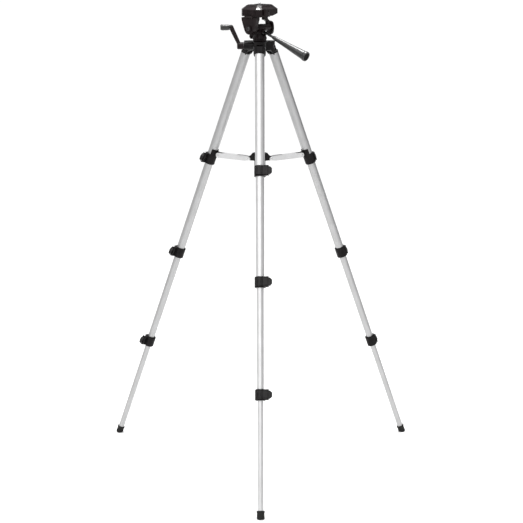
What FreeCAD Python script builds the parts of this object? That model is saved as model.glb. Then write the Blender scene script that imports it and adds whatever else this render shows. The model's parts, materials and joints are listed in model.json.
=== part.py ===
import FreeCAD, Part
import math
import os

# Camera tripod with geared centre column, mid-level spreader and a pan and tilt head.
# Millimetres, +Z up. The origin is the floor point under the column's axis.
# The front leg points along -Y; legs are 120 degrees apart.

V = FreeCAD.Vector
X_AXIS = V(1, 0, 0)
Y_AXIS = V(0, 1, 0)
Z_AXIS = V(0, 0, 1)
ORIGIN = V(0, 0, 0)

# ---- driving dimensions -------------------------------------------------------------

# legs
LEGS = {"front": -90.0, "left": 150.0, "right": 30.0}
SPLAY = 21.13
PIVOT_R = 38.0
PIVOT_Z = 1199.8
CLAMP_S = (348.0, 654.0, 958.0)
FOOT_TIP_S = 1287.0
TUBE_R = (13.25, 11.75, 10.0, 8.25)
TUBE_WALL = 0.9
TUBE_TOP_S = 19.5
TUBE_BOTTOM_S = FOOT_TIP_S - 6.0
TUBE_OVERLAP = 50.0
TUBE_INTO_CLAMP = 2.0
GROOVE_WIDTH = 3.0
GROOVE_DEPTH = 0.45

# leg locks
CLAMP_R = (15.8, 15.3, 14.7)
CLAMP_HALF = 15.2
SLIP = 0.15
SNUG = 0.05
LEVER_HALF = 11.0
LEVER_GAP = 0.6
LEVER_THICK = 3.2
LEVER_PIVOT_X = 12.5
LEVER_PIVOT_OUT = 6.0
LEVER_TAIL = 13.0
LEVER_PIN_R = 1.6

# spreader
BRACE_S = 327.0
BRACE_IN = 23.5
BRACE_HEIGHT = 14.0
BRACE_CHEEK_IN = 7.5
BRACE_WALL = 1.2
BRACE_FORK_INNER = 41.0
BRACE_FORK_OUTER = 15.0
BRACE_TIP_R = 5.0
BRACE_DIP = 1.5
HUB_PIVOT_R = 32.0
LUG_HALF = 7.2
RIVET_R = 2.0

# shoulder and column
BARREL_R = 20.5
BARREL_NECK_R = 15.2
SHOULDER_TOP = 1215.5
SHOULDER_BOTTOM = 1172.0
SOCKET_R = 17.3
SOCKET_CENTRE = 29.5
SOCKET_BOTTOM = 1177.0
SOCKET_ARCH_TOP = 1190.5
SOCKET_ARCH_IN = 26.5
SOCKET_ARCH_OUT = 37.2
SOCKET_SLOT_TOP = 1208.6
SWING_IN = 24.0
SWING_OUT = 60.0
THROAT_HALF = 8.1
TONGUE_R = 8.0
TONGUE_HALF = 7.8
HINGE_PIN_R = 3.0
COLUMN_LOCK_Z = 1199.0
COLUMN_R = 8.75
COLUMN_BORE_R = 6.0
COLUMN_TOP = 1215.9
COLUMN_LENGTH = 320.0
CENTRE_TUBE_R = 10.0
CENTRE_TUBE_BORE_R = 9.1
CENTRE_TUBE_TOP = 1186.0
CENTRE_TUBE_BOTTOM = 745.0

# rack and pinion
MODULE = 1.0
PINION_TEETH = 12
CRANK_Z = 1204.0
CRANK_Y = -13.8
RACK_TEETH_BELOW = 82
RACK_TEETH_ABOVE = 2
CRANK_SHAFT_R = 3.0
CRANK_HOUSING_R = 11.0
GEAR_CHAMBER_R = 7.8
CRANK_HOUSING_X = -44.0
CRANK_HUB_X = -62.6
CRANK_HUB_R = 10.0
CRANK_HUB_LENGTH = 18.2
CRANK_KNOB_X = -82.5
CRANK_KNOB_Z = 1254.5
CRANK_KNOB_LENGTH = 26.0
CRANK_KNOB_R = 8.5

# head, in its own frame: x along the handle, y along the tilt axis
HEAD_YAW = -38.0
TILT_Z = 1252.0
HANDLE_DIP = 22.7
HANDLE_DROP = 4.0
HANDLE_LENGTH = 175.0
HANDLE_ROD_R = 3.5
GRIP_START = 54.0
PLATFORM_X = 72.0
PLATFORM_Y = 94.0
PLATFORM_BOTTOM = 1286.0
PLATFORM_WALL = 1304.5
PLATFORM_TOP = 1311.0
PLATFORM_CHAMFER = 12.0
TRAY_X = 54.0
TRAY_Y = 72.0
TRAY_CHAMFER = 8.0
TRAY_FLOOR = 1299.0
PLATE_TOP = 1315.5
SCREW_R = 3.175
SCREW_TIP = 1321.5
FLIP_Y = -46.5
FLIP_Z = 1284.0
PAN_LOCK_Z = 1228.0
AXLE_R = 3.0
PADDLE_Z = 1249.8
PADDLE_HALF_WIDTH = 12.2
PADDLE_HALF_HEIGHT = 19.2
PADDLE_IN = 44.0
PADDLE_OUT = 52.0
RUN = 0.05


# ---- small helpers ------------------------------------------------------------------

def cylinder(radius, start, direction, length):
    """Solid cylinder from start, along direction."""
    return Part.makeCylinder(radius, length, start, direction)


def z_cylinder(radius, low, high, x=0.0, y=0.0):
    """Upright cylinder between two heights."""
    return cylinder(radius, V(x, y, low), Z_AXIS, high - low)


def z_ring(outer, inner, low, high):
    """Upright ring between two heights."""
    return z_cylinder(outer, low, high).cut(z_cylinder(inner, low - 1, high + 1))


def box(low, high):
    """Box between two opposite corners."""
    return Part.makeBox(high[0] - low[0], high[1] - low[1], high[2] - low[2], V(*low))


def point_at(axis, along, a, b):
    """Point at a distance along an axis, its other two coordinates given in order."""
    if axis == "x":
        return V(along, a, b)
    if axis == "y":
        return V(a, along, b)
    return V(a, b, along)


def outline_at(points, axis, along):
    """Closed polygon drawn across an axis."""
    corners = [point_at(axis, along, a, b) for a, b in points]
    return Part.makePolygon(corners + corners[:1])


def prism(points, axis, low, high):
    """Polygon drawn across an axis, extruded from low to high along it."""
    return Part.Face(outline_at(points, axis, low)).extrude(point_at(axis, high - low, 0, 0))


def tapered(points, axis, low, end_points, high):
    """Solid between two polygons with the same number of corners, at two places along an axis."""
    return Part.makeLoft([outline_at(points, axis, low), outline_at(end_points, axis, high)], True, True)


def turned(profile, start=ORIGIN, direction=Z_AXIS):
    """Solid of revolution. profile is (radius, distance along direction) pairs."""
    corners = [V(r, 0, h) for r, h in profile]
    wire = Part.makePolygon(corners + corners[:1])
    solid = Part.Face(wire).revolve(ORIGIN, Z_AXIS, 360)
    solid.Placement = FreeCAD.Placement(start, FreeCAD.Rotation(Z_AXIS, direction))
    return solid


def fused(shapes):
    """One clean solid from several overlapping ones."""
    return shapes[0].multiFuse(shapes[1:]).removeSplitter()


def chamfered_rectangle(size_x, size_y, chamfer):
    """Corners of a rectangle with cut corners, centred on the origin."""
    a, b = size_x / 2, size_y / 2
    c = chamfer
    return [(a, -b + c), (a, b - c), (a - c, b), (-a + c, b),
            (-a, b - c), (-a, -b + c), (-a + c, -b), (a - c, -b)]


def turn_about(axis, degrees):
    """Placement that only turns."""
    return FreeCAD.Placement(ORIGIN, FreeCAD.Rotation(axis, degrees))


def placed(shape, placement):
    """Copy of a shape, moved."""
    copy = shape.copy()
    copy.Placement = placement.multiply(copy.Placement)
    return copy


def leg_placement(azimuth):
    """From the leg's frame (leg down -Z, outward +X, pivot at the origin) to the object's."""
    move = FreeCAD.Placement(V(PIVOT_R, 0, PIVOT_Z), FreeCAD.Rotation(Y_AXIS, -SPLAY))
    return turn_about(Z_AXIS, azimuth).multiply(move)


def save(name, shape):
    """Write one node."""
    shape.exportStep(f"parts/{name}.step")


# ---- legs, in the leg's frame -------------------------------------------------------

def tube_span(number):
    """Top and bottom of one leg section, measured down the leg from the pivot."""
    top = TUBE_TOP_S if number == 0 else CLAMP_S[number - 1] - TUBE_OVERLAP
    bottom = CLAMP_S[number] + TUBE_INTO_CLAMP if number < 3 else TUBE_BOTTOM_S
    return top, bottom


def leg_tube(number):
    """Drawn aluminium section. All but the widest have shallow guide grooves."""
    top, bottom = tube_span(number)
    radius = TUBE_R[number]
    tube = z_ring(radius, radius - TUBE_WALL, -bottom, -top)
    if number == 0:
        return tube
    half = GROOVE_WIDTH / 2
    grooves = []
    for quarter in range(4):
        groove = box((radius - GROOVE_DEPTH, -half, -bottom - 1), (radius + 1, half, -top + 1))
        groove.rotate(ORIGIN, Z_AXIS, 90 * quarter)
        grooves.append(groove)
    return tube.cut(grooves)


def leg_knuckle():
    """Moulded tongue that turns in the shoulder, with a plug that fits inside the widest tube."""
    collar_top = TUBE_TOP_S - 5.6
    collar_r = TUBE_R[0] + 0.3
    plug_r = TUBE_R[0] - TUBE_WALL - SNUG
    tongue = cylinder(TONGUE_R, V(0, -TONGUE_HALF, 0), Y_AXIS, 2 * TONGUE_HALF)
    neck = box((-TONGUE_R, -TONGUE_HALF, -collar_top - 2), (TONGUE_R, TONGUE_HALF, 0))
    collar = turned([(0, -TUBE_TOP_S - 8.5), (plug_r - 0.6, -TUBE_TOP_S - 8.5),
                     (plug_r, -TUBE_TOP_S - 7.5), (plug_r, -TUBE_TOP_S), (collar_r, -TUBE_TOP_S),
                     (collar_r, -collar_top - 1), (collar_r - 1.2, -collar_top), (0, -collar_top)])
    pin_hole = cylinder(HINGE_PIN_R + RUN, V(0, -20, 0), Y_AXIS, 40)
    return fused([tongue, neck, collar]).cut(pin_hole)


def clamp_bores(number):
    """The stepped hole through one leg lock: the fixed tube above, the sliding one below."""
    centre = CLAMP_S[number]
    step = -(centre + TUBE_INTO_CLAMP + 0.2)
    upper = z_cylinder(TUBE_R[number] + SNUG, step, -(centre - 60))
    lower = z_cylinder(TUBE_R[number + 1] + SLIP, -(centre + 40), step + 1)
    return [upper, lower]


def lever_pivot(number):
    """Where a lock lever's pin stands, across the leg."""
    out = CLAMP_R[number] + LEVER_PIVOT_OUT
    return LEVER_PIVOT_X, math.sqrt(out ** 2 - LEVER_PIVOT_X ** 2) + 2.0


def leg_clamp(number):
    """Collar of a leg lock, with two ears for its lever's pin."""
    centre = CLAMP_S[number]
    radius = CLAMP_R[number]
    low, high = -(centre + CLAMP_HALF), -(centre - CLAMP_HALF)
    collar = turned([(0, low), (radius - 1.2, low), (radius, low + 1.2),
                     (radius, high - 2.0), (radius - 1.6, high), (0, high)])
    pin_x, pin_y = lever_pivot(number)
    pieces = [collar]
    cuts = clamp_bores(number)
    for sign in (-1, 1):
        inner = -centre + sign * (LEVER_HALF + 0.3)
        outer = -centre + sign * (CLAMP_HALF - 0.8)
        a, b = min(inner, outer), max(inner, outer)
        web = prism([(-4, 6), (pin_x - 3.5, pin_y + 1.5), (pin_x + 3.5, pin_y - 1.5), (13, 2)],
                    "z", a, b)
        pieces += [web, z_cylinder(4.2, a, b, pin_x, pin_y)]
    cuts.append(z_cylinder(LEVER_PIN_R + RUN, low - 5, high + 5, pin_x, pin_y))
    slot = box((-0.6, radius - 5, low - 1), (0.6, radius + 20, high + 1))
    cuts.append(slot)
    if number == 0:
        pieces += brace_lug()
        cuts.append(cylinder(RIVET_R + RUN, V(-BRACE_IN, -20, -BRACE_S), Y_AXIS, 40))
    return fused(pieces).cut(cuts)


def brace_lug():
    """Saddle above the highest lock, whose lug carries one spreader brace."""
    top = BRACE_S - 10.0
    saddle = z_cylinder(15.4, -(CLAMP_S[0] - 10), -top)
    saddle = saddle.cut(box((-3, -30, -CLAMP_S[0]), (30, 30, 0)))
    root = box((-BRACE_IN, -LUG_HALF, -(BRACE_S + 6)), (-10, LUG_HALF, -(BRACE_S - 6)))
    eye = cylinder(6.0, V(-BRACE_IN, -LUG_HALF, -BRACE_S), Y_AXIS, 2 * LUG_HALF)
    gusset = prism([(-BRACE_IN + 2, -BRACE_S - 5.5), (-12, -BRACE_S - 18), (-12, -BRACE_S)],
                   "y", -3, 3)
    return [saddle, root, eye, gusset]


def lock_lever(number):
    """Flip lever: a cam head on the pin, a thumb end and a plate that wraps the collar."""
    centre = CLAMP_S[number]
    inner = CLAMP_R[number] + LEVER_GAP
    outer = inner + LEVER_THICK
    low, high = -centre - LEVER_HALF, -centre + LEVER_HALF
    pin_x, pin_y = lever_pivot(number)
    wrap = z_ring(outer, inner, low, high)
    start, end = math.radians(-44), math.radians(66)
    keep = prism([(0, 0), (60 * math.cos(start), 60 * math.sin(start)), (60, 0),
                  (60 * math.cos(end), 60 * math.sin(end))], "z", low - 1, high + 1)
    wrap = wrap.common(keep)
    head = z_cylinder(5.0, low, high, pin_x, pin_y)
    tail = box((pin_x - 4.2, pin_y, low), (pin_x + 4.2, pin_y + LEVER_TAIL, high))
    corners = [edge for edge in tail.Edges
               if abs(edge.CenterOfMass.y - pin_y - LEVER_TAIL) < 0.01
               and abs(edge.CenterOfMass.x - pin_x) < 0.01]
    tail = tail.makeChamfer(5.5, corners)
    heel = prism([(pin_x - 4.4, pin_y - 3), (pin_x + 4.8, pin_y - 1), (outer - 1.5, 5), (inner + 0.2, 6)],
                 "z", low, high)
    body = fused([wrap, head, tail, heel])
    body = body.cut([z_cylinder(inner, low - 1, high + 1)])
    relief = []
    for side in (-1, 1):
        angle = math.radians(-8 + 14 * side)
        relief.append(z_cylinder(2.0, low + 4, high - 4, (outer + 1.2) * math.cos(angle),
                                 (outer + 1.2) * math.sin(angle)))
    relief.append(z_cylinder(LEVER_PIN_R + RUN, low - 1, high + 1, pin_x, pin_y))
    return body.cut(relief)


def foot():
    """Rubber boot on the narrowest tube, flat where it stands on the floor."""
    tip = -FOOT_TIP_S
    boot = turned([(0, tip), (7.5, tip), (9.6, tip + 1.2), (10.6, tip + 3.4), (10.2, tip + 9),
                   (9.9, tip + 17), (11.0, tip + 18.5), (11.0, tip + 21.5), (10.0, tip + 23),
                   (0, tip + 23)])
    socket = z_cylinder(TUBE_R[3] + SNUG, tip + 5.8, tip + 30)
    return boot.cut([socket])


def brace_ends():
    """Outer and inner pivot of a spreader brace, as (distance from the column, height)."""
    splay = math.radians(SPLAY)
    outer_r = PIVOT_R + BRACE_S * math.sin(splay) - BRACE_IN * math.cos(splay)
    outer_z = PIVOT_Z - BRACE_S * math.cos(splay) - BRACE_IN * math.sin(splay)
    inner_z = outer_z - (outer_r - HUB_PIVOT_R) * math.tan(math.radians(BRACE_DIP))
    return (outer_r, outer_z), (HUB_PIVOT_R, inner_z)


def brace_length():
    """Distance between a brace's two pivots."""
    (outer_r, outer_z), (inner_r, inner_z) = brace_ends()
    return math.hypot(outer_r - inner_r, outer_z - inner_z)


def brace():
    """U-channel bar, built along -X from its outer pivot, forked at both ends."""
    length = brace_length()
    half = BRACE_HEIGHT / 2
    outer_face = BRACE_CHEEK_IN + BRACE_WALL
    outline = [(4.5, half - 1.6), (0, half), (-length + 14, half), (-length - 2, BRACE_TIP_R - 0.6),
               (-length - BRACE_TIP_R, 2.0), (-length - BRACE_TIP_R, -2.0),
               (-length - 2, -BRACE_TIP_R + 0.6), (-length + 14, -half), (0, -half),
               (4.5, -half + 1.6), (half - 0.6, -2.4), (half - 0.6, 2.4)]
    solid = prism(outline, "y", -outer_face, outer_face)
    channel = box((-length - 20, -BRACE_CHEEK_IN, -half - 1), (20, BRACE_CHEEK_IN, half - BRACE_WALL))
    fork_in = box((-length - 20, -BRACE_CHEEK_IN, -half - 1),
                  (-length + BRACE_FORK_INNER, BRACE_CHEEK_IN, half + 1))
    fork_out = box((-BRACE_FORK_OUTER, -BRACE_CHEEK_IN, -half - 1), (20, BRACE_CHEEK_IN, half + 1))
    holes = [cylinder(RIVET_R + RUN, V(x, -20, 0), Y_AXIS, 40) for x in (0, -length)]
    return solid.cut([channel, fork_in, fork_out] + holes)


# ---- spreader hub, shoulder, column ---------------------------------------------------

def brace_hub():
    """Collar that slides on the centre tube, with three lugs for the braces."""
    pivot_z = brace_ends()[1][1]
    ring = turned([(0, pivot_z - 4.5), (14.2, pivot_z - 4.5), (15.0, pivot_z + 12),
                   (14.0, pivot_z + 20), (0, pivot_z + 20)])
    lug_outline = [(12, -4.5), (HUB_PIVOT_R, -4.5), (HUB_PIVOT_R + 4.5, 0), (HUB_PIVOT_R + 2, 5.5),
                   (26.0, 11.0), (20.0, 18.0), (12, 18.0)]
    pieces = [ring]
    for azimuth in LEGS.values():
        lug = prism([(r, pivot_z + h) for r, h in lug_outline], "y", -LUG_HALF, LUG_HALF)
        lug = lug.cut(cylinder(RIVET_R + RUN, V(HUB_PIVOT_R, -20, pivot_z), Y_AXIS, 40))
        pieces.append(placed(lug, turn_about(Z_AXIS, azimuth)))
    bore = z_cylinder(CENTRE_TUBE_R + 0.3, pivot_z - 30, pivot_z + 40)
    return fused(pieces).cut(bore)


def shoulder_arm():
    """Round housing for one leg, along +X, slotted for the tongue.

    Its mouth is open for the tube's swing, and an arch thins it between the leg and the column.
    """
    root = box((10.0, -SOCKET_R, SOCKET_BOTTOM + 6), (SOCKET_CENTRE, SOCKET_R, SHOULDER_TOP - 1.2))
    nose = turned([(0, SOCKET_BOTTOM), (SOCKET_R, SOCKET_BOTTOM), (SOCKET_R, SHOULDER_TOP - 3.2),
                   (SOCKET_R + 0.8, SHOULDER_TOP - 2.4), (SOCKET_R + 0.8, SHOULDER_TOP - 0.8),
                   (SOCKET_R, SHOULDER_TOP), (0, SHOULDER_TOP)], V(SOCKET_CENTRE, 0, 0))
    slot = box((PIVOT_R - TONGUE_R - 0.6, -THROAT_HALF, SOCKET_BOTTOM - 5),
               (SWING_OUT, THROAT_HALF, SOCKET_SLOT_TOP))
    swing_half = TUBE_R[0] + 0.65
    below = SOCKET_BOTTOM - 27
    swing = prism([(SWING_IN, 1186.1), (40.5, 1187.0), (57.0, 1193.3), (SWING_OUT, below),
                   (SWING_IN, below)], "y", -swing_half, swing_half)
    arch_low = SOCKET_BOTTOM - 1
    arch = prism([(0, SOCKET_ARCH_TOP), (SOCKET_ARCH_IN, SOCKET_ARCH_TOP), (SOCKET_ARCH_OUT, arch_low),
                  (0, arch_low)], "y", -SOCKET_R - 1, SOCKET_R + 1)
    pin = cylinder(HINGE_PIN_R, V(PIVOT_R, 1 - SOCKET_R, PIVOT_Z), Y_AXIS, 2 * SOCKET_R - 2)
    return fused([root, nose]).cut([slot, swing, arch]).fuse(pin)


def shoulder():
    """Casting that carries the three legs, the column and the crank's gear."""
    barrel = turned([(0, SHOULDER_BOTTOM), (BARREL_NECK_R - 1, SHOULDER_BOTTOM),
                     (BARREL_NECK_R, SHOULDER_BOTTOM + 2), (BARREL_NECK_R, SOCKET_ARCH_TOP - 5),
                     (BARREL_R, SOCKET_ARCH_TOP + 1), (BARREL_R, SHOULDER_TOP - 4.0),
                     (BARREL_R + 2.0, SHOULDER_TOP - 3.0), (BARREL_R + 2.0, SHOULDER_TOP - 0.8),
                     (BARREL_R + 1.2, SHOULDER_TOP), (0, SHOULDER_TOP)])
    pieces = [barrel]
    for azimuth in LEGS.values():
        pieces.append(placed(shoulder_arm(), turn_about(Z_AXIS, azimuth)))
    housing = cylinder(CRANK_HOUSING_R, V(CRANK_HOUSING_X, CRANK_Y, CRANK_Z), X_AXIS, 58.0)
    lock_boss = cylinder(8.5, V(0, 10, COLUMN_LOCK_Z), Y_AXIS, 17)
    body = fused(pieces + [housing, lock_boss])
    bores = [
        z_cylinder(COLUMN_R + 0.3, SHOULDER_BOTTOM - 5, SHOULDER_TOP + 5),
        z_cylinder(CENTRE_TUBE_R + SNUG, SHOULDER_BOTTOM - 5, CENTRE_TUBE_TOP + 0.2),
        cylinder(GEAR_CHAMBER_R, V(-8.4, CRANK_Y, CRANK_Z), X_AXIS, 25),
        cylinder(CRANK_SHAFT_R + RUN, V(CRANK_HOUSING_X - 1, CRANK_Y, CRANK_Z), X_AXIS, 40),
        cylinder(CRANK_SHAFT_R + RUN, V(0, 5, COLUMN_LOCK_Z), Y_AXIS, 40),
    ]
    return body.cut(bores)


def gear_cover():
    """Plug that closes the gear chamber and carries the far end of the crank's shaft."""
    plug = turned([(0, 0), (GEAR_CHAMBER_R - 0.1, 0), (GEAR_CHAMBER_R - 0.1, 6.4),
                   (GEAR_CHAMBER_R - 0.9, 7.2), (0, 7.2)], V(8.5, CRANK_Y, CRANK_Z), X_AXIS)
    bore = cylinder(CRANK_SHAFT_R + RUN, V(8.0, CRANK_Y, CRANK_Z), X_AXIS, 6.0)
    return plug.cut(bore)


def centre_tube():
    """Fixed tube below the shoulder. The column slides inside it, the hub outside."""
    return z_ring(CENTRE_TUBE_R, CENTRE_TUBE_BORE_R, CENTRE_TUBE_BOTTOM, CENTRE_TUBE_TOP)


def column():
    """Rising column, with a rack cut in its front."""
    bottom = COLUMN_TOP - COLUMN_LENGTH
    tube = z_ring(COLUMN_R, COLUMN_BORE_R, bottom, COLUMN_TOP)
    pitch = math.pi * MODULE
    notches = []
    for tooth in range(-RACK_TEETH_BELOW, RACK_TEETH_ABOVE + 1):
        z = CRANK_Z + tooth * pitch
        notches.append(prism([(-COLUMN_R - 1, z - 1.5), (-COLUMN_R + 2.2, z - 0.65),
                              (-COLUMN_R + 2.2, z + 0.65), (-COLUMN_R - 1, z + 1.5)],
                             "x", -5.0, 5.0))
    return tube.cut(notches)


def crank_shaft():
    """Shaft with the pinion that meets the rack."""
    shaft = cylinder(CRANK_SHAFT_R, V(-56.0, CRANK_Y, CRANK_Z), X_AXIS, 69.5)
    root = cylinder(4.6, V(-4.5, CRANK_Y, CRANK_Z), X_AXIS, 9.0)
    teeth = []
    for number in range(PINION_TEETH):
        tooth = prism([(-0.85, 3.5), (-0.75, 4.9), (-0.32, 6.6), (0.32, 6.6), (0.75, 4.9), (0.85, 3.5)],
                      "x", -4.5, 4.5)
        tooth.rotate(ORIGIN, X_AXIS, 90 + 360 * number / PINION_TEETH)
        tooth.translate(V(0, CRANK_Y, CRANK_Z))
        teeth.append(tooth)
    return fused([shaft, root] + teeth)


def crank_arm():
    """Cranked lever on the shaft, ending in the pin for its knob."""
    hub = turned([(0, 0), (CRANK_HUB_R - 1.6, 0), (CRANK_HUB_R, 2.0), (CRANK_HUB_R, CRANK_HUB_LENGTH),
                  (0, CRANK_HUB_LENGTH)], V(CRANK_HUB_X, CRANK_Y, CRANK_Z), X_AXIS)
    top = cylinder(7.0, V(CRANK_KNOB_X + 0.4, CRANK_Y, CRANK_KNOB_Z), X_AXIS, 6.5)
    half = 4.6
    bar = prism([(-49.5, CRANK_Z), (-60.5, CRANK_Z), (CRANK_KNOB_X + 0.6, CRANK_KNOB_Z - 7),
                 (CRANK_KNOB_X + 0.6, CRANK_KNOB_Z + 4), (CRANK_KNOB_X + 5.0, CRANK_KNOB_Z + 6),
                 (CRANK_KNOB_X + 8.5, CRANK_KNOB_Z + 5)],
                "y", CRANK_Y - half, CRANK_Y + half)
    pin = cylinder(2.5, V(CRANK_KNOB_X - CRANK_KNOB_LENGTH + 3, CRANK_Y, CRANK_KNOB_Z), X_AXIS,
                   CRANK_KNOB_LENGTH)
    bore = cylinder(CRANK_SHAFT_R + 0.02, V(-56.2, CRANK_Y, CRANK_Z), X_AXIS, 14)
    return fused([hub, bar, top, pin]).cut(bore)


def crank_knob():
    """Free-turning knob on the crank's pin."""
    r = CRANK_KNOB_R
    length = CRANK_KNOB_LENGTH
    knob = turned([(0, 0), (r - 2.2, 0), (r - 1.4, 1.2), (r - 0.4, 6), (r, length - 6),
                   (r - 0.5, length - 1.8), (r - 2.2, length), (0, length)],
                  V(CRANK_KNOB_X, CRANK_Y, CRANK_KNOB_Z), V(-1, 0, 0))
    bore = cylinder(2.6, V(CRANK_KNOB_X - length + 2.5, CRANK_Y, CRANK_KNOB_Z), X_AXIS, length)
    return knob.cut(bore)


def fluted_knob(radius, length, flutes):
    """Knob along +Z from the origin, with finger flutes round its rim."""
    body = turned([(0, 0), (radius - 2.5, 0), (radius, 2), (radius, length - 2),
                   (radius - 2, length), (0, length)])
    cuts = []
    for number in range(flutes):
        angle = 2 * math.pi * number / flutes
        reach = radius + 1.4
        cuts.append(z_cylinder(2.4, -1, length + 1, reach * math.cos(angle), reach * math.sin(angle)))
    return body.cut(cuts)


def column_lock_knob():
    """Screw knob at the back that pinches the column."""
    knob = fluted_knob(11.0, 14.0, 7)
    screw = z_cylinder(CRANK_SHAFT_R, -18.0, 1.0)
    body = fused([knob, screw])
    body.Placement = FreeCAD.Placement(V(0, 27.6, COLUMN_LOCK_Z), FreeCAD.Rotation(Z_AXIS, Y_AXIS))
    return body


# ---- head, in the head's frame --------------------------------------------------------

def head_base():
    """Disc on top of the column, with a plug that goes down inside it."""
    disc = turned([(0, COLUMN_TOP), (18.0, COLUMN_TOP), (19.0, COLUMN_TOP + 1),
                   (19.0, COLUMN_TOP + 5.4), (0, COLUMN_TOP + 5.4)])
    plug = z_cylinder(COLUMN_BORE_R - SNUG, COLUMN_TOP - 20, COLUMN_TOP + 1)
    return fused([disc, plug])


def pan_body():
    """Turning base of the head: a cone with two ears that carry the tilt axle."""
    bottom = COLUMN_TOP + 5.8
    cone = turned([(0, bottom), (19.6, bottom), (20.2, bottom + 1.2), (20.0, bottom + 4),
                   (15.5, 1234.0), (0, 1234.0)])
    pieces = [cone]
    for side in (-1, 1):
        inner, outer = 7.2 * side, 13.0 * side
        a, b = min(inner, outer), max(inner, outer)
        pieces.append(cylinder(10.5, V(0, a, TILT_Z), Y_AXIS, b - a))
        pieces.append(prism([(-10.5, TILT_Z), (-13.0, 1230), (13.0, 1230), (10.5, TILT_Z)],
                            "y", a, b))
    boss = cylinder(6.0, V(-10, 0, PAN_LOCK_Z), V(-1, 0, 0), 11.5)
    body = fused(pieces + [boss])
    slot = cylinder(18.4, V(0, -7.2, TILT_Z), Y_AXIS, 14.4)
    notch = prism([(4.0, 1242.0), (4.0, 1232.5), (10.0, 1231.5), (22.0, 1228.5), (22.0, 1242.0)],
                  "y", -7.2, 7.2)
    axle_hole = cylinder(AXLE_R + RUN, V(0, -20, TILT_Z), Y_AXIS, 40)
    lock_hole = cylinder(2.0 + RUN, V(-8, 0, PAN_LOCK_Z), V(-1, 0, 0), 20)
    return body.cut([slot, notch, axle_hole, lock_hole])


def pan_lock_knob():
    """Small screw knob at the back of the pan body."""
    body = fused([fluted_knob(8.0, 10.0, 5), z_cylinder(2.0, -12.0, 1.0)])
    body.Placement = FreeCAD.Placement(V(-22.0, 0, PAN_LOCK_Z), FreeCAD.Rotation(Z_AXIS, V(-1, 0, 0)))
    return body


def tilt_block():
    """Centre block of the tilt, one piece with its axle. The handle screws into it."""
    drum = cylinder(11.0, V(0, -6.9, TILT_Z), Y_AXIS, 13.8)
    axle = cylinder(AXLE_R, V(0, -47.0, TILT_Z), Y_AXIS, 96.0)
    way = handle_direction()
    centre = handle_root()
    socket = cylinder(6.7, centre, way, 17.0)
    body = fused([drum, axle, socket])
    thread = cylinder(HANDLE_ROD_R + RUN, centre + way * 6.0, way, 20)
    return body.cut(thread)


def tilt_frame():
    """Tilting frame: two barrels on the axle, a thick shield-shaped cheek, a bent neck and a top web."""
    cheek_low, cheek_high = -48.0, -33.0
    barrel_r = 10.0
    shield = [(-26.0, 1283.0), (-26.0, 1277.0), (-21.0, 1261.0), (-15.0, 1245.5), (-10.0, 1239.0),
              (-3.5, 1236.0), (3.5, 1236.0), (10.0, 1239.0), (15.0, 1245.5), (21.0, 1261.0),
              (26.0, 1277.0), (26.0, 1283.0)]
    cheek = prism(shield, "y", cheek_low, cheek_high)
    hinge_room = cylinder(4.8, V(-14.6, FLIP_Y, FLIP_Z), X_AXIS, 29.2)
    cheek = cheek.cut(hinge_room)
    left = cylinder(barrel_r, V(0, cheek_high - 1, TILT_Z), Y_AXIS, -cheek_high - 12.3)
    right = cylinder(barrel_r, V(0, 13.3, TILT_Z), Y_AXIS, 28.7)
    neck = prism([(16.0, 1283.0), (16.0, 1273.5), (25.0, 1271.0), (32.0, 1267.0), (33.0, TILT_Z),
                  (41.5, TILT_Z), (41.5, 1269.0), (32.0, 1275.0), (31.0, 1283.0)], "x", -5.0, 5.0)
    web = box((-13.0, -40.5, 1281.5), (13.0, 31.0, 1285.4))
    riser = prism([(-45.5, 1278.0), (-48.0, 1280.0), (-45.5, 1285.4), (-30.0, 1285.4), (-30.0, 1281.0),
                   (-40.0, 1278.0)], "x", -7.8, 7.8)
    knuckle = cylinder(4.0, V(-7.8, FLIP_Y, FLIP_Z), X_AXIS, 15.6)
    body = fused([cheek, left, right, neck, web, riser, knuckle])
    holes = [cylinder(AXLE_R + 0.02, V(0, -60, TILT_Z), Y_AXIS, 120),
             cylinder(2.0 + RUN, V(-20, FLIP_Y, FLIP_Z), X_AXIS, 40)]
    return body.cut(holes)


def tilt_lock_knob():
    """Paddle-shaped knob on the right end of the tilt axle."""
    hub = cylinder(8.0, V(0, 42.4, TILT_Z), Y_AXIS, 4.0)
    count = 28
    outline = []
    for number in range(count):
        angle = 2 * math.pi * number / count
        across, up = math.cos(angle), math.sin(angle)
        fullness = (across ** 4 + up ** 4) ** -0.25 * 0.5 + 0.5
        outline.append((PADDLE_HALF_WIDTH * across * fullness,
                        PADDLE_Z + PADDLE_HALF_HEIGHT * up * fullness))
    paddle = prism(outline, "y", PADDLE_IN, PADDLE_OUT - 2.0)
    edge = [(x * 0.86, PADDLE_Z + (z - PADDLE_Z) * 0.91) for x, z in outline]
    crown = tapered(outline, "y", PADDLE_OUT - 2.0, edge, PADDLE_OUT)
    bore = cylinder(AXLE_R + RUN, V(0, 40, TILT_Z), Y_AXIS, 9.2)
    return fused([hub, paddle, crown]).cut(bore)


def handle_direction():
    """Unit vector along the pan handle, in the head's frame."""
    dip = math.radians(HANDLE_DIP)
    return V(math.cos(dip), 0, -math.sin(dip))


def handle_root():
    """Where the handle's line crosses the column's axis, a little below the tilt axis."""
    return V(0, 0, TILT_Z - HANDLE_DROP)


def handle_rod():
    """Steel rod of the pan handle, screwed into the tilt block."""
    way = handle_direction()
    start = handle_root() + way * 6.3
    return cylinder(HANDLE_ROD_R, start, way, HANDLE_LENGTH - 6.3 - 12.0)


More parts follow.
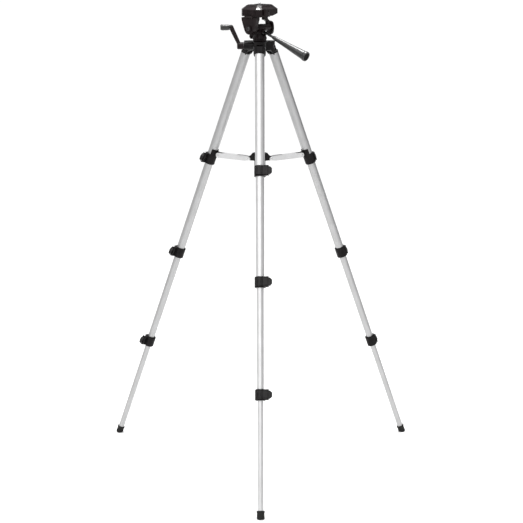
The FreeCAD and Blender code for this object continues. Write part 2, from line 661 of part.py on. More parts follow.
def handle_grip():
    """Tapered grip with a bored core, wider towards its end."""
    way = handle_direction()
    start = handle_root() + way * GRIP_START
    length = HANDLE_LENGTH - GRIP_START
    grip = turned([(0, 0), (4.8, 0), (5.6, 2.0), (8.8, length * 0.45), (12.6, length - 9.0),
                   (13.8, length - 6.0), (13.8, length - 1.5), (12.6, length), (0, length)], start, way)
    bore = cylinder(HANDLE_ROD_R + SNUG, start - way, way, length - 11.0)
    return grip.cut(bore)


def platform():
    """Flip platform: sloping shoulders round the plate's tray, on two hinge lugs."""
    outline = chamfered_rectangle(PLATFORM_X, PLATFORM_Y, PLATFORM_CHAMFER)
    rim = chamfered_rectangle(TRAY_X + 5.0, TRAY_Y + 5.0, TRAY_CHAMFER + 1.5)
    tray = prism(chamfered_rectangle(TRAY_X, TRAY_Y, TRAY_CHAMFER), "z", TRAY_FLOOR, PLATFORM_TOP + 1)
    pieces = [prism(outline, "z", PLATFORM_BOTTOM, PLATFORM_WALL),
              tapered(outline, "z", PLATFORM_WALL, rim, PLATFORM_TOP)]
    for side in (-1, 1):
        inner, outer = 8.1 * side, 14.0 * side
        a, b = min(inner, outer), max(inner, outer)
        pieces.append(cylinder(4.2, V(a, FLIP_Y, FLIP_Z), X_AXIS, b - a))
        pieces.append(prism([(FLIP_Y - 4.0, FLIP_Z), (FLIP_Y - 4.0, PLATFORM_BOTTOM + 1.0),
                             (FLIP_Y + 4.0, PLATFORM_BOTTOM + 1.0), (FLIP_Y + 4.0, FLIP_Z)], "x", a, b))
    half_y = PLATFORM_Y / 2
    wedge = prism([(12.0, PLATFORM_BOTTOM - 0.2), (half_y + 1, PLATFORM_BOTTOM - 0.2),
                   (half_y + 1, PLATFORM_BOTTOM + 9.0)], "x", -PLATFORM_X, PLATFORM_X)
    knuckle_room = cylinder(4.8, V(-8.1, FLIP_Y, FLIP_Z), X_AXIS, 16.2)
    cuts = [tray, wedge, knuckle_room, z_cylinder(12.0, PLATFORM_BOTTOM - 1, TRAY_FLOOR + 1)]
    pitch, width, depth, count = 7.0, 3.0, 1.4, 7
    for number in range(count):
        x = (number - (count - 1) / 2) * pitch
        for face in (-half_y, half_y):
            cuts.append(box((x - width / 2, face - depth, PLATFORM_BOTTOM + 2.5),
                            (x + width / 2, face + depth, PLATFORM_WALL - 2.5)))
    pin = cylinder(2.0, V(-9.0, FLIP_Y, FLIP_Z), X_AXIS, 18.0)
    return fused(pieces).cut(cuts).fuse(pin)


def quick_plate():
    """Quick-release plate: a foot in the tray, a tapered table and a recess for the screw's head."""
    foot_part = prism(chamfered_rectangle(TRAY_X - 0.8, TRAY_Y - 0.8, TRAY_CHAMFER - 0.2), "z",
                      TRAY_FLOOR, PLATFORM_TOP + 0.3)
    low = chamfered_rectangle(TRAY_X + 4.0, TRAY_Y + 4.0, TRAY_CHAMFER + 1.0)
    high = chamfered_rectangle(TRAY_X - 2.0, TRAY_Y - 6.0, TRAY_CHAMFER + 1.0)
    table = tapered(low, "z", PLATFORM_TOP + 0.3, high, PLATE_TOP)
    recess = z_cylinder(11.0, TRAY_FLOOR - 1, TRAY_FLOOR + 5.4)
    bore = z_cylinder(SCREW_R + 0.3, TRAY_FLOOR, PLATE_TOP + 1)
    return fused([foot_part, table]).cut([recess, bore])


def camera_screw():
    """Quarter-inch camera screw, captive in the plate, slotted below."""
    head = z_cylinder(9.5, TRAY_FLOOR + 2.4, TRAY_FLOOR + 5.0)
    neck_r = SCREW_R - 0.3
    shank = turned([(0, TRAY_FLOOR + 4), (neck_r, TRAY_FLOOR + 4), (neck_r, PLATE_TOP + 0.2),
                    (SCREW_R, PLATE_TOP + 0.2), (SCREW_R, SCREW_TIP - 0.6), (SCREW_R - 0.6, SCREW_TIP),
                    (0, SCREW_TIP)])
    slot = box((-12, -0.9, TRAY_FLOOR), (12, 0.9, TRAY_FLOOR + 3.4))
    return fused([head, shank]).cut(slot)


def release_lever():
    """Thumb lever on the platform's handle side that frees the plate."""
    face = PLATFORM_X / 2 + 0.4
    low, high = 1288.0, 1303.0
    pin_x, pin_y = face + 3.6, -12.0
    arm = prism([(face + 0.6, pin_y), (face + 6.6, pin_y), (face + 7.5, -16.0), (face + 7.5, -26.0),
                 (face + 4.0, -30.0), (face, -28.0)], "z", low, high - 5.0)
    eye = z_cylinder(3.1, low, high, pin_x, pin_y)
    thumb = box((face + 3.0, -30.0, low), (face + 9.0, -20.0, high + 3.0))
    pin_hole = z_cylinder(1.6 + RUN, low - 5, high + 5, pin_x, pin_y)
    return fused([arm, eye, thumb]).cut(pin_hole)


# ---- build ------------------------------------------------------------------------------

def build_legs():
    """Every node of the three legs."""
    floor_cut = box((-2000, -2000, -60), (2000, 2000, 0))
    (outer_r, outer_z), _ = brace_ends()
    bar = brace()
    tilt_bar = FreeCAD.Placement(V(outer_r, 0, outer_z), FreeCAD.Rotation(Y_AXIS, -BRACE_DIP))
    for side, azimuth in LEGS.items():
        way = leg_placement(azimuth)
        save(f"{side}_knuckle", placed(leg_knuckle(), way))
        for number in range(4):
            save(f"{side}_tube_{number + 1}", placed(leg_tube(number), way))
        for number in range(3):
            save(f"{side}_clamp_{number + 1}", placed(leg_clamp(number), way))
            save(f"{side}_lever_{number + 1}", placed(lock_lever(number), way))
        save(f"{side}_foot", placed(foot(), way).cut(floor_cut))
        save(f"{side}_brace", placed(bar, turn_about(Z_AXIS, azimuth).multiply(tilt_bar)))


def build_centre():
    """Every node that stands on the column's axis below the head."""
    save("shoulder", shoulder())
    save("gear_cover", gear_cover())
    save("centre_tube", centre_tube())
    save("brace_hub", brace_hub())
    save("column", column())
    save("crank_shaft", crank_shaft())
    save("crank_arm", crank_arm())
    save("crank_knob", crank_knob())
    save("column_lock_knob", column_lock_knob())


def build_head():
    """Every node of the pan and tilt head, turned to where the handle points."""
    makers = (head_base, pan_body, pan_lock_knob, tilt_block, tilt_frame, tilt_lock_knob,
              handle_rod, handle_grip, platform, quick_plate, camera_screw, release_lever)
    yaw = turn_about(Z_AXIS, HEAD_YAW)
    for maker in makers:
        save(maker.__name__, placed(maker(), yaw))


os.makedirs("parts", exist_ok=True)
build_legs()
build_centre()
build_head()
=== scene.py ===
import json
import math

import bmesh
import bpy
from mathutils import Matrix, Vector


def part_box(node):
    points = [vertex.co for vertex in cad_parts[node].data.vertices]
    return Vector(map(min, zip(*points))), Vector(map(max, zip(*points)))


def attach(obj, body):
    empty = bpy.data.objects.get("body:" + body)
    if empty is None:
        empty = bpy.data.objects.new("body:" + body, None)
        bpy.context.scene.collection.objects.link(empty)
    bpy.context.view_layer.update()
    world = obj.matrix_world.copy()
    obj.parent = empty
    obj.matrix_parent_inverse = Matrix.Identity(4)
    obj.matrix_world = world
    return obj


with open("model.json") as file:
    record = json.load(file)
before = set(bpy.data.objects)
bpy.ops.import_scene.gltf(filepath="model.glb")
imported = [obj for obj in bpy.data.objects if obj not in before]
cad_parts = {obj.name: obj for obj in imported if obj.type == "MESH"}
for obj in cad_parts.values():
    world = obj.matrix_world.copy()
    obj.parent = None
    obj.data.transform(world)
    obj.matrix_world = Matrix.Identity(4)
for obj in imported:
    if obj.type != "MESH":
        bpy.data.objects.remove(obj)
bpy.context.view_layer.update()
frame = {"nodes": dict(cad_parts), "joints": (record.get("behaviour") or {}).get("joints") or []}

NODES = frame["nodes"]
JOINTS = {joint["name"]: joint for joint in frame["joints"]}
LEGS = ("front", "left", "right")
SECTIONS = (1, 2, 3, 4)
LOCKS = (1, 2, 3)

CAMERA_LENS = 116.34
CAMERA_PLACE = (0.0038, -4.722, 1.606)
CAMERA_DIP = 12.16
CAMERA_ROLL = 0.13
CAMERA_YAW = -0.027
FLOOR_REACH = 120.0
SKY_STRENGTH = 0.72
SOFT_ANGLE = 35.0


# ---- camera and stage -----------------------------------------------------------------

def make_camera():
    """Long lens a little above the head, looking slightly down."""
    camera = bpy.data.cameras.new("camera")
    camera.lens = CAMERA_LENS
    camera.sensor_width = 36.0
    camera.clip_end = 500.0
    holder = bpy.data.objects.new("camera", camera)
    holder.location = CAMERA_PLACE
    turn = (90.0 - CAMERA_DIP, CAMERA_ROLL, CAMERA_YAW)
    holder.rotation_euler = [math.radians(angle) for angle in turn]
    bpy.context.scene.collection.objects.link(holder)
    bpy.context.scene.camera = holder


def area_light(name, place, aim, size, power):
    """Square softbox."""
    light = bpy.data.lights.new(name, "AREA")
    light.shape = "SQUARE"
    light.size = size
    light.energy = power
    holder = bpy.data.objects.new(name, light)
    holder.location = place
    way = Vector(aim) - Vector(place)
    holder.rotation_euler = way.to_track_quat("-Z", "Y").to_euler()
    bpy.context.scene.collection.objects.link(holder)


def make_floor():
    """Wide pale floor."""
    mesh = bpy.data.meshes.new("floor")
    reach = FLOOR_REACH
    mesh.from_pydata([(-reach, -reach, 0), (reach, -reach, 0), (reach, reach, 0), (-reach, reach, 0)],
                     [], [(0, 1, 2, 3)])
    floor = bpy.data.objects.new("floor", mesh)
    bpy.context.scene.collection.objects.link(floor)
    paint = bpy.data.materials.new("floor")
    paint.use_nodes = True
    shader = paint.node_tree.nodes["Principled BSDF"]
    shader.inputs["Base Color"].default_value = (0.93, 0.93, 0.93, 1)
    shader.inputs["Roughness"].default_value = 0.9
    shader.inputs["Specular IOR Level"].default_value = 0.0
    mesh.materials.append(paint)


def make_sky():
    """White sky that darkens towards the right and the back."""
    world = bpy.data.worlds.new("sky")
    bpy.context.scene.world = world
    world.use_nodes = True
    tree = world.node_tree
    coords = tree.nodes.new("ShaderNodeTexCoord")
    toward = tree.nodes.new("ShaderNodeVectorMath")
    toward.operation = "DOT_PRODUCT"
    toward.inputs[1].default_value = (0.87, 0.50, 0.0)
    ramp = tree.nodes.new("ShaderNodeValToRGB")
    ramp.color_ramp.elements[0].position = 0.74
    ramp.color_ramp.elements[0].color = (1.0, 1.0, 1.0, 1)
    ramp.color_ramp.elements[1].position = 0.97
    ramp.color_ramp.elements[1].color = (0.12, 0.12, 0.13, 1)
    tree.links.new(coords.outputs["Generated"], toward.inputs[0])
    tree.links.new(toward.outputs["Value"], ramp.inputs[0])
    back = tree.nodes["Background"]
    tree.links.new(ramp.outputs[0], back.inputs["Color"])
    back.inputs["Strength"].default_value = SKY_STRENGTH


def make_lights():
    """Broad soft sun from the left and two softboxes."""
    sun = bpy.data.lights.new("sun", "SUN")
    sun.energy = 1.6
    sun.angle = math.radians(70)
    holder = bpy.data.objects.new("sun", sun)
    holder.rotation_euler = (math.radians(22), math.radians(-28), 0)
    bpy.context.scene.collection.objects.link(holder)
    area_light("key", place=(-0.1, -4.4, 3.6), aim=(0, 0, 0.7), size=3.2, power=44)
    area_light("top", place=(0.1, 0.5, 3.1), aim=(0, 0, 1.2), size=0.9, power=70)
    bpy.context.scene.view_settings.view_transform = "Standard"
    bpy.context.scene.view_settings.look = "None"


# ---- materials --------------------------------------------------------------------------

class Paint:
    """A material under construction: a principled shader and a few node helpers."""

    def __init__(self, name, base, metallic, roughness):
        self.material = bpy.data.materials.new(name)
        self.material.use_nodes = True
        self.tree = self.material.node_tree
        self.shader = self.tree.nodes["Principled BSDF"]
        self.shader.inputs["Base Color"].default_value = (*base, 1)
        self.shader.inputs["Metallic"].default_value = metallic
        self.shader.inputs["Roughness"].default_value = roughness

    def node(self, kind, **settings):
        made = self.tree.nodes.new(kind)
        for key, value in settings.items():
            setattr(made, key, value)
        return made

    def link(self, out, into):
        self.tree.links.new(out, into)

    def coords(self, scale=(1, 1, 1), axis=None):
        """Object coordinates, optionally with their Z turned along an axis."""
        source = self.node("ShaderNodeTexCoord")
        mapping = self.node("ShaderNodeMapping")
        vector = source.outputs["Object"]
        if axis is not None:
            turn = self.node("ShaderNodeMapping")
            upright = Vector(axis).rotation_difference(Vector((0, 0, 1)))
            turn.inputs["Rotation"].default_value = upright.to_euler()
            self.link(vector, turn.inputs["Vector"])
            vector = turn.outputs["Vector"]
        mapping.inputs["Scale"].default_value = scale
        self.link(vector, mapping.inputs["Vector"])
        return mapping.outputs["Vector"]

    def noise(self, vector, scale, detail, rough=0.5):
        made = self.node("ShaderNodeTexNoise")
        made.inputs["Scale"].default_value = scale
        made.inputs["Detail"].default_value = detail
        made.inputs["Roughness"].default_value = rough
        self.link(vector, made.inputs["Vector"])
        return made.outputs["Fac"]

    def spread(self, value, low, high, from_low=0.3, from_high=0.7):
        """Map a noise value onto a range."""
        made = self.node("ShaderNodeMapRange")
        made.inputs["From Min"].default_value = from_low
        made.inputs["From Max"].default_value = from_high
        made.inputs["To Min"].default_value = low
        made.inputs["To Max"].default_value = high
        self.link(value, made.inputs["Value"])
        return made.outputs["Result"]

    def shade(self, value, dark, light, from_low=0.3, from_high=0.7):
        """Base colour between two tones."""
        mix = self.node("ShaderNodeMix", data_type="RGBA")
        self.link(self.spread(value, 0, 1, from_low, from_high), mix.inputs["Factor"])
        mix.inputs["A"].default_value = (*dark, 1)
        mix.inputs["B"].default_value = (*light, 1)
        self.link(mix.outputs["Result"], self.shader.inputs["Base Color"])

    def bump(self, value, strength, distance):
        made = self.node("ShaderNodeBump")
        made.inputs["Strength"].default_value = strength
        made.inputs["Distance"].default_value = distance
        self.link(value, made.inputs["Height"])
        self.link(made.outputs["Normal"], self.shader.inputs["Normal"])


def aluminium(name, axis, tone):
    """Satin anodised tube: fine drawn lines along its axis and faint handling marks."""
    paint = Paint(name, (tone, tone, tone), 0.85, 0.36)
    lines = paint.noise(paint.coords((900, 900, 6), axis), 1.0, 2.0)
    marks = paint.noise(paint.coords(), 26.0, 5.0, 0.6)
    paint.shade(marks, (tone * 0.93,) * 3, (tone * 1.04, tone * 1.04, tone * 1.05))
    paint.link(paint.spread(lines, 0.30, 0.44), paint.shader.inputs["Roughness"])
    paint.bump(lines, 0.10, 0.0001)
    return paint.material


def plastic(name, tone=(0.0038, 0.0032, 0.0034), rough=(0.28, 0.42), grain=1400.0, depth=0.2, gloss=0.10):
    """Moulded black plastic: spark-eroded grain, slight mottling, greyer where it is rubbed."""
    paint = Paint(name, tone, 0.0, rough[0])
    paint.shader.inputs["Specular IOR Level"].default_value = gloss
    fine = paint.noise(paint.coords(), grain, 2.0, 0.6)
    broad = paint.noise(paint.coords(), 60.0, 4.0, 0.6)
    light = tuple(min(1.0, c * 1.9 + 0.004) for c in tone)
    paint.shade(broad, tone, light, 0.35, 0.75)
    paint.link(paint.spread(broad, *rough), paint.shader.inputs["Roughness"])
    paint.bump(fine, depth, 0.00015)
    return paint.material


def rubber(name, tone=(0.009, 0.009, 0.009)):
    """Matt black rubber with a dusty bloom."""
    paint = Paint(name, tone, 0.0, 0.8)
    paint.shader.inputs["Specular IOR Level"].default_value = 0.2
    fine = paint.noise(paint.coords(), 900.0, 3.0, 0.7)
    bloom = paint.noise(paint.coords(), 90.0, 5.0, 0.65)
    paint.shade(bloom, tone, (0.022, 0.021, 0.020), 0.4, 0.8)
    paint.link(paint.spread(bloom, 0.62, 0.88), paint.shader.inputs["Roughness"])
    paint.bump(fine, 0.5, 0.0002)
    return paint.material


def steel(name, tone=(0.62, 0.62, 0.63), rough=(0.18, 0.32)):
    """Bright plated steel with fine scratches."""
    paint = Paint(name, tone, 1.0, rough[0])
    fine = paint.noise(paint.coords((1, 1, 0.2)), 700.0, 3.0, 0.6)
    paint.shade(fine, tuple(c * 0.85 for c in tone), tone)
    paint.link(paint.spread(fine, *rough), paint.shader.inputs["Roughness"])
    paint.bump(fine, 0.08, 0.00005)
    return paint.material


def enamel(name, tone):
    """Printed or inlaid mark with slightly uneven ink."""
    paint = Paint(name, tone, 0.0, 0.45)
    ink = paint.noise(paint.coords(), 500.0, 4.0, 0.6)
    paint.shade(ink, tuple(c * 0.86 for c in tone), tone)
    paint.link(paint.spread(ink, 0.38, 0.55), paint.shader.inputs["Roughness"])
    return paint.material


# ---- mesh helpers --------------------------------------------------------------------------

def finish_node(name, material, bevel=0.0004, segments=2):
    """A CAD node keeps its shape and gets a material, smooth shading and softened edges."""
    node = NODES[name]
    node.data.materials.clear()
    node.data.materials.append(material)
    for polygon in node.data.polygons:
        polygon.use_smooth = True
    if bevel:
        soften = node.modifiers.new("soften", "BEVEL")
        soften.width = bevel
        soften.segments = segments
        soften.limit_method = "ANGLE"
        soften.angle_limit = math.radians(SOFT_ANGLE)
        soften.harden_normals = True
        soften.use_clamp_overlap = True


def new_piece(name, verts, faces, material, body, smooth=True):
    """A Blender piece from plain vertices and faces, riding on a CAD body."""
    mesh = bpy.data.meshes.new(name)
    mesh.from_pydata([tuple(v) for v in verts], [], faces)
    mesh.validate()
    made = bmesh.new()
    made.from_mesh(mesh)
    bmesh.ops.remove_doubles(made, verts=made.verts, dist=1e-7)
    bmesh.ops.recalc_face_normals(made, faces=made.faces)
    made.to_mesh(mesh)
    made.free()
    for polygon in mesh.polygons:
        polygon.use_smooth = smooth
    mesh.materials.append(material)
    piece = bpy.data.objects.new(name, mesh)
    bpy.context.scene.collection.objects.link(piece)
    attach(piece, body)


def frame_of(origin, axis):
    """Matrix whose Z runs along axis from origin."""
    z = Vector(axis).normalized()
    x = z.orthogonal()
    x = (x - z * x.dot(z)).normalized()
    y = z.cross(x)
    turn = Matrix((x, y, z)).transposed().to_4x4()
    return Matrix.Translation(Vector(origin)) @ turn


def band(ring, next_ring, count):
    """Faces between two rings of vertices with equal counts."""
    faces = []
    for step in range(count):
        after = (step + 1) % count
        faces.append((ring * count + step, ring * count + after,
                      next_ring * count + after, next_ring * count + step))
    return faces


def closed_stack(rings, count):
    """Faces of a solid of stacked rings, closed at both ends."""
    faces = []
    for ring in range(rings - 1):
        faces += band(ring, ring + 1, count)
    faces.append(tuple(reversed(range(count))))
    faces.append(tuple(range((rings - 1) * count, rings * count)))
    return faces


def circles(profile, place, count, reach=None):
    """Vertices of one circle per (radius, distance) pair. reach can change a radius by its angle."""
    verts = []
    for radius, distance in profile:
        for step in range(count):
            angle = 2 * math.pi * step / count
            r = radius if reach is None else reach(radius, angle)
            verts.append(place @ Vector((r * math.cos(angle), r * math.sin(angle), distance)))
    return verts


def turned(profile, place, count, reach=None):
    """Vertices and faces of a closed turned shape. profile is (radius, distance) in metres."""
    return circles(profile, place, count, reach), closed_stack(len(profile), count)


def ring_solid(profile, place, count):
    """Turned ring from a closed (radius, distance) profile."""
    faces = []
    for ring in range(len(profile)):
        faces += band(ring, (ring + 1) % len(profile), count)
    return circles(profile, place, count), faces


def joined(parts):
    """Several (vertices, faces) shapes as one."""
    verts, faces = [], []
    for more_verts, more_faces in parts:
        faces += [tuple(index + len(verts) for index in face) for face in more_faces]
        verts += more_verts
    return verts, faces


def rounded_outline(points, radius, steps):
    """Closed outline with each corner rounded by an arc."""
    out = []
    count = len(points)
    for number, point in enumerate(points):
        here = Vector(point)
        before = (Vector(points[number - 1]) - here).normalized()
        after = (Vector(points[(number + 1) % count]) - here).normalized()
        half = before.angle(after) / 2
        reach = radius / math.tan(half)
        middle = here + (before + after).normalized() * (radius / math.sin(half))
        start = here + before * reach - middle
        end = here + after * reach - middle
        sweep = start.angle_signed(end)
        for step in range(steps + 1):
            turn = -sweep * step / steps
            out.append(middle + Vector((start.x * math.cos(turn) - start.y * math.sin(turn),
                                        start.x * math.sin(turn) + start.y * math.cos(turn))))
    return out


def stacked(outlines, place):
    """Vertices and faces of a solid lofted through (outline, height) pairs with equal counts."""
    verts = [place @ Vector((x, y, height)) for outline, height in outlines for x, y in outline]
    return verts, closed_stack(len(outlines), len(outlines[0][0]))


def rectangle(low_x, low_y, high_x, high_y, inset_x=0.0, inset_y=0.0):
    """Corners of a rectangle, anticlockwise, drawn in by an inset."""
    return [(low_x + inset_x, low_y + inset_y), (high_x - inset_x, low_y + inset_y),
            (high_x - inset_x, high_y - inset_y), (low_x + inset_x, high_y - inset_y)]


def rivet(name, origin, axis, radius, height, material, body):
    """Domed rivet head."""
    profile = [(radius * 0.98, 0.0), (radius, height * 0.25), (radius * 0.86, height * 0.62),
               (radius * 0.55, height * 0.9), (radius * 0.18, height)]
    verts, faces = turned(profile, frame_of(origin, axis), 24)
    new_piece(name, verts, faces, material, body)


# ---- places taken from the frame -------------------------------------------------------------

def joint_axis(name):
    """Unit vector along a joint's axis."""
    return Vector(JOINTS[name]["axis"]).normalized()


def joint_place(name):
    """Point that a joint turns or slides from, in metres."""
    return Vector(JOINTS[name]["pos_m"])


def leg_down(side):
    """Unit vector down a leg."""
    return joint_axis(f"{side}_slide_2")


def extent(node, axis):
    """Lowest and highest distance of a node's points along an axis."""
    reach = [Vector(vertex.co).dot(axis) for vertex in NODES[node].data.vertices]
    return min(reach), max(reach)


# metres from a joint to the faces that its trim sits on, and the brace's width, tip and dip in degrees
BRACE_HALF_WIDTH = 0.0087
BRACE_TIP = 0.005
BRACE_DIP = 1.5
HINGE_FACE = 0.0148
LEVER_PIN_FACE = 0.0143
LEVER_FACE = 0.0042

HANDLE_AXIS = joint_axis("handle_twist")
TILT_AXIS = joint_axis("head_tilt")
FLIP_AXIS = joint_axis("platform_flip")


# ---- looks of the CAD nodes ------------------------------------------------------------------

make_camera()
make_floor()
make_sky()
make_lights()

BLACK = plastic("black_plastic")
BLACK_LEVER = plastic("black_lever", (0.0048, 0.0044, 0.0046), (0.24, 0.38), 1700.0, 0.15, 0.22)
BLACK_HEAD = plastic("black_head", (0.0068, 0.0042, 0.0046), (0.27, 0.40), 1500.0, 0.2, 0.12)
GLOSS = plastic("gloss_black", (0.0040, 0.0040, 0.0042), (0.26, 0.38), 900.0, 0.05, 0.55)
RUBBER = rubber("black_rubber")
STEEL = steel("bright_steel")
BLACK_STEEL = steel("blackened_steel", (0.075, 0.073, 0.075), (0.22, 0.36))
WHITE = enamel("white_mark", (0.82, 0.83, 0.80))

# The tubes of all three legs are the same aluminium. The tone given to each leg is painted light and shade:
# the front leg is painted lighter as if lit from the front, and the left and right legs are painted darker
# as if in shade.
LIT_AND_SHADED_TUBE_TONE = {"front": 0.60, "left": 0.40, "right": 0.41}
for side in LEGS:
    down = leg_down(side)
    tube_paint = aluminium(f"aluminium_{side}", down, LIT_AND_SHADED_TUBE_TONE[side])
    for number in SECTIONS:
        finish_node(f"{side}_tube_{number}", tube_paint, 0.00015, 1)
    flat = Vector((down.x, down.y, 0)).normalized()
    finish_node(f"{side}_brace", aluminium(f"aluminium_brace_{side}", flat, 0.62), 0.0002, 2)
    finish_node(f"{side}_knuckle", BLACK)
    for number in LOCKS:
        finish_node(f"{side}_clamp_{number}", BLACK, 0.0006, 3)
        finish_node(f"{side}_lever_{number}", BLACK_LEVER, 0.0007, 3)
    finish_node(f"{side}_foot", RUBBER, 0.0004)

UPRIGHT = aluminium("aluminium_column", (0, 0, 1), 0.55)
for name, paint, bevel, segments in (
        ("column", UPRIGHT, 0.0, 2),
        ("centre_tube", UPRIGHT, 0.0, 2),
        ("shoulder", BLACK, 0.0007, 3),
        ("brace_hub", BLACK, 0.0007, 3),
        ("gear_cover", BLACK, 0.0004, 2),
        ("crank_shaft", STEEL, 0.0, 2),
        ("crank_arm", BLACK_HEAD, 0.0008, 3),
        ("crank_knob", GLOSS, 0.0006, 3),
        ("column_lock_knob", BLACK_HEAD, 0.0005, 2),
        ("pan_lock_knob", BLACK_HEAD, 0.0005, 2),
        ("handle_rod", BLACK_STEEL, 0.0, 2),
        ("handle_grip", GLOSS, 0.0006, 3),
        ("camera_screw", STEEL, 0.0002, 2)):
    finish_node(name, paint, bevel, segments)
for name in ("head_base", "pan_body", "tilt_block", "tilt_frame", "tilt_lock_knob", "platform",
             "quick_plate", "release_lever"):
    finish_node(name, BLACK_HEAD, 0.0008, 3)


# ---- small pieces ---------------------------------------------------------------------------

def hex_socket_screw(name, origin, axis, radius, height, body):
    """Blackened screw head with a chamfered rim and a hexagonal socket."""
    socket = radius * 0.48
    sink = height * 0.35

    def corner(r, angle):
        if r > socket * 1.001 or r < socket * 0.9:
            return r
        turn = (angle + math.pi / 6) % (math.pi / 3) - math.pi / 6
        return r / math.cos(turn)

    profile = [(radius * 0.96, -0.0005), (radius, height * 0.2), (radius, height * 0.7),
               (radius * 0.84, height), (socket, height), (socket * 0.95, sink), (socket * 0.1, sink * 0.8)]
    verts, faces = turned(profile, frame_of(origin, axis), 36, corner)
    new_piece(name, verts, faces, BLACK_STEEL, body, False)


def head_frame(height):
    """Matrix of the head's own axes at a height: X along the handle, Y along the tilt axle."""
    return Matrix(((FLIP_AXIS.x, TILT_AXIS.x, 0, 0),
                   (FLIP_AXIS.y, TILT_AXIS.y, 0, 0),
                   (0, 0, 1, height),
                   (0, 0, 0, 1)))


def plate_pad():
    """Ribbed rubber pad on the quick-release plate, in two halves beside the screw's slot."""
    place = head_frame(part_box("quick_plate")[1].z)
    half_x, half_y, gap, cut = 0.0235, 0.0295, 0.0048, 0.006
    rib_count, rib_pitch = 9, 0.0048
    for sign, name in ((-1, "plate_pad_left"), (1, "plate_pad_right")):
        inner, outer = sign * gap, sign * half_y
        corners = [(-half_x, inner), (half_x, inner), (half_x, outer - sign * cut),
                   (half_x - cut, outer), (-half_x + cut, outer), (-half_x, outer - sign * cut)]
        if sign < 0:
            corners.reverse()
        low = rounded_outline(corners, 0.0012, 4)
        centre = Vector((0, (inner + outer) / 2))
        high = [centre + (Vector(point) - centre) * 0.975 for point in low]
        verts, faces = stacked([(low, -0.0002), (low, 0.0005), (high, 0.0009)], place)
        new_piece(name, verts, faces, PAD, "plate", False)
        near, far = min(inner, outer) + 0.003, max(inner, outer) - 0.0065
        ribs = []
        for number in range(rib_count):
            x = (number - (rib_count - 1) / 2) * rib_pitch
            base = rectangle(x - 0.0009, near, x + 0.0009, far)
            crest = rectangle(x - 0.0009, near, x + 0.0009, far, 0.0004, 0.0006)
            ribs.append(stacked([(base, 0.0008), (base, 0.0011), (crest, 0.0014)], place))
        verts, faces = joined(ribs)
        new_piece(name + "_ribs", verts, faces, PAD, "plate", False)


def index_mark():
    """White index triangle on the platform's sloping shoulder, above its front corner."""
    rim_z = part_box("platform")[1].z
    reach_x = extent("platform", FLIP_AXIS)[1]
    reach_y = -extent("platform", TILT_AXIS)[0]
    tray_corner = Vector((reach_x - 0.0135, -(reach_y - 0.0155), rim_z))
    wall_corner = Vector((reach_x - 0.0060, -(reach_y - 0.0060), rim_z - 0.0065))
    outward = wall_corner - tray_corner
    side = Vector((-outward.y, outward.x, 0)).normalized()
    slope = tray_corner - wall_corner
    up = slope.normalized()
    normal = side.cross(up).normalized()
    if normal.z < 0:
        normal = -normal
    half_width, margin, lift, sink = 0.0058, 0.0012, 0.00035, 0.0004
    foot = wall_corner + up * margin
    tip = wall_corner + up * (slope.length - margin)
    flat = [foot - side * half_width, foot + side * half_width, tip]
    place = head_frame(0.0)
    verts = [place @ (point + normal * lift) for point in flat]
    verts += [place @ (point - normal * sink) for point in flat]
    faces = [(0, 1, 2), (5, 4, 3), (0, 3, 4, 1), (1, 4, 5, 2), (2, 5, 3, 0)]
    new_piece("index_mark", verts, faces, WHITE, "flip", False)


def spreader_rivets(side):
    """Rivets through both ends of a spreader brace, one each side."""
    across = joint_axis(f"{side}_brace_turn")
    outer = joint_place(f"{side}_brace_turn")
    down = leg_down(side)
    inward = -Vector((down.x, down.y, 0)).normalized()
    run = extent(f"{side}_brace", inward)[1] - BRACE_TIP - outer.dot(inward)
    drop = run * math.tan(math.radians(BRACE_DIP))
    inner = outer + inward * run - Vector((0, 0, drop))
    for end, centre in (("outer", outer), ("inner", inner)):
        for sign, mark in ((-1, "a"), (1, "b")):
            rivet(f"{side}_{end}_rivet_{mark}", centre + across * (BRACE_HALF_WIDTH * sign), across * sign,
                  0.0034, 0.0016, STEEL, f"{side}_spreader")


def hinge_screws(side):
    """Socket screws at both ends of a leg's hinge pin."""
    axis = joint_axis(f"{side}_leg_fold")
    centre = joint_place(f"{side}_leg_fold")
    for sign, mark in ((-1, "a"), (1, "b")):
        hex_socket_screw(f"{side}_hinge_screw_{mark}", centre + axis * (sign * HINGE_FACE), axis * sign,
                         0.0042, 0.0024, "shoulder")


def lever_pins(side, number):
    """Ends of the pin that a leg lock's lever turns on, and the ridges of its thumb end."""
    down = leg_down(side)
    centre = joint_place(f"{side}_lock_{number}_turn")
    middle = down * (sum(extent(f"{side}_lever_{number}", down)) / 2)
    centre = centre - down * centre.dot(down) + middle
    body = f"{side}_leg" if number == 1 else f"{side}_section_{number}"
    for sign, mark in ((-1, "top"), (1, "bottom")):
        rivet(f"{side}_lever_pin_{number}_{mark}", centre + down * (sign * LEVER_PIN_FACE), down * sign,
              0.0024, 0.0010, STEEL, body)
    thumb_ridges(side, number, centre, down)


def thumb_ridges(side, number, centre, down):
    """Three raised ridges across the outer face of a lever's thumb end, each longer than the last."""
    out = Vector((down.x, down.y, 0)).normalized()
    out = (out - down * out.dot(down)).normalized()
    across = down.cross(out)
    low, tip = extent(f"{side}_lever_{number}", across)
    if abs(low - centre.dot(across)) > abs(tip - centre.dot(across)):
        across, tip = -across, -low
    turn = Matrix((across, down, out)).transposed().to_4x4()
    half_width, crest_half, inset = 0.0007, 0.0003, 0.0005
    ridges = []
    for step in range(3):
        at = tip - 0.0035 - 0.0026 * step
        middle = centre + across * (at - centre.dot(across)) + out * LEVER_FACE
        half = 0.0052 + 0.0016 * step
        base = rectangle(-half_width, -half, half_width, half)
        crest = rectangle(-crest_half, -half + inset, crest_half, half - inset)
        ridges.append(stacked([(base, -0.0004), (base, 0.0002), (crest, 0.0007)],
                              Matrix.Translation(middle) @ turn))
    verts, faces = joined(ridges)
    new_piece(f"{side}_lever_ridges_{number}", verts, faces, BLACK_LEVER, f"{side}_lock_{number}",
              False)


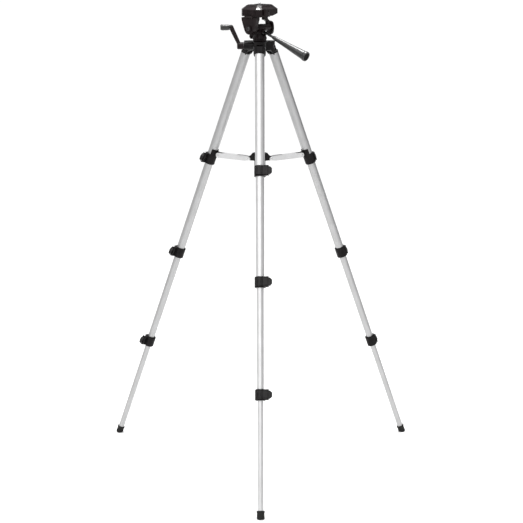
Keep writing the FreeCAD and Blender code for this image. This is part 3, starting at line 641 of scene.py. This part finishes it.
def axle_screw():
    """Screw and washer at the tilt axle's end, on the shield-shaped cheek."""
    axle = joint_place("head_tilt")
    face = extent("tilt_frame", TILT_AXIS)[0]
    centre = axle + TILT_AXIS * (face - axle.dot(TILT_AXIS))
    hex_socket_screw("axle_screw", centre, -TILT_AXIS, 0.0056, 0.0022, "tilt")
    profile = [(0.0092, -0.0006), (0.0092, 0.0005), (0.0084, 0.0010), (0.0068, 0.0010), (0.0062, 0.0004),
               (0.0062, -0.0006)]
    verts, faces = ring_solid(profile, frame_of(centre, -TILT_AXIS), 40)
    new_piece("axle_washer", verts, faces, BLACK_HEAD, "tilt")


def grip_trim():
    """Raised rim and matt dish at the handle's end, and a collar where the grip meets the rod."""
    low, high = extent("handle_grip", HANDLE_AXIS)
    line = joint_place("handle_twist")
    end = line + HANDLE_AXIS * (high - line.dot(HANDLE_AXIS))
    start = line + HANDLE_AXIS * (low - line.dot(HANDLE_AXIS))
    rim = [(0.0128, -0.0020), (0.0136, -0.0008), (0.0132, 0.0006), (0.0116, 0.0010), (0.0102, 0.0004),
           (0.0098, -0.0010)]
    verts, faces = ring_solid(rim, frame_of(end, HANDLE_AXIS), 48)
    new_piece("grip_end_rim", verts, faces, GLOSS, "handle")
    dish = [(0.0101, 0.0), (0.0101, 0.0008), (0.0092, 0.0005), (0.0050, 0.0003), (0.0010, 0.0003)]
    verts, faces = turned(dish, frame_of(end, HANDLE_AXIS), 48)
    new_piece("grip_end_dish", verts, faces, MATT, "handle")
    collar = [(0.0036, -0.0030), (0.0044, -0.0028), (0.0052, -0.0008), (0.0056, 0.0016), (0.0036, 0.0016)]
    verts, faces = ring_solid(collar, frame_of(start, HANDLE_AXIS), 32)
    new_piece("grip_collar", verts, faces, GLOSS, "handle")


def guide_tube_stop():
    """Moulded stop ring on the lower end of the guide tube."""
    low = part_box("centre_tube")[0].z
    profile = [(0.0093, -0.0026), (0.0104, -0.0026), (0.0114, -0.0016), (0.0114, 0.0066), (0.0108, 0.0074),
               (0.0101, 0.0074), (0.0101, 0.0), (0.0093, 0.0)]
    verts, faces = ring_solid(profile, frame_of((0, 0, low), (0, 0, 1)), 40)
    new_piece("guide_tube_stop", verts, faces, BLACK, "shoulder")


PAD = rubber("pad_rubber", (0.014, 0.013, 0.013))
MATT = plastic("matt_black", (0.0020, 0.0020, 0.0022), (0.50, 0.65), 1600.0, 0.2, 0.04)
plate_pad()
index_mark()
for side in LEGS:
    spreader_rivets(side)
    hinge_screws(side)
    for number in LOCKS:
        lever_pins(side, number)
axle_screw()
grip_trim()
guide_tube_stop()
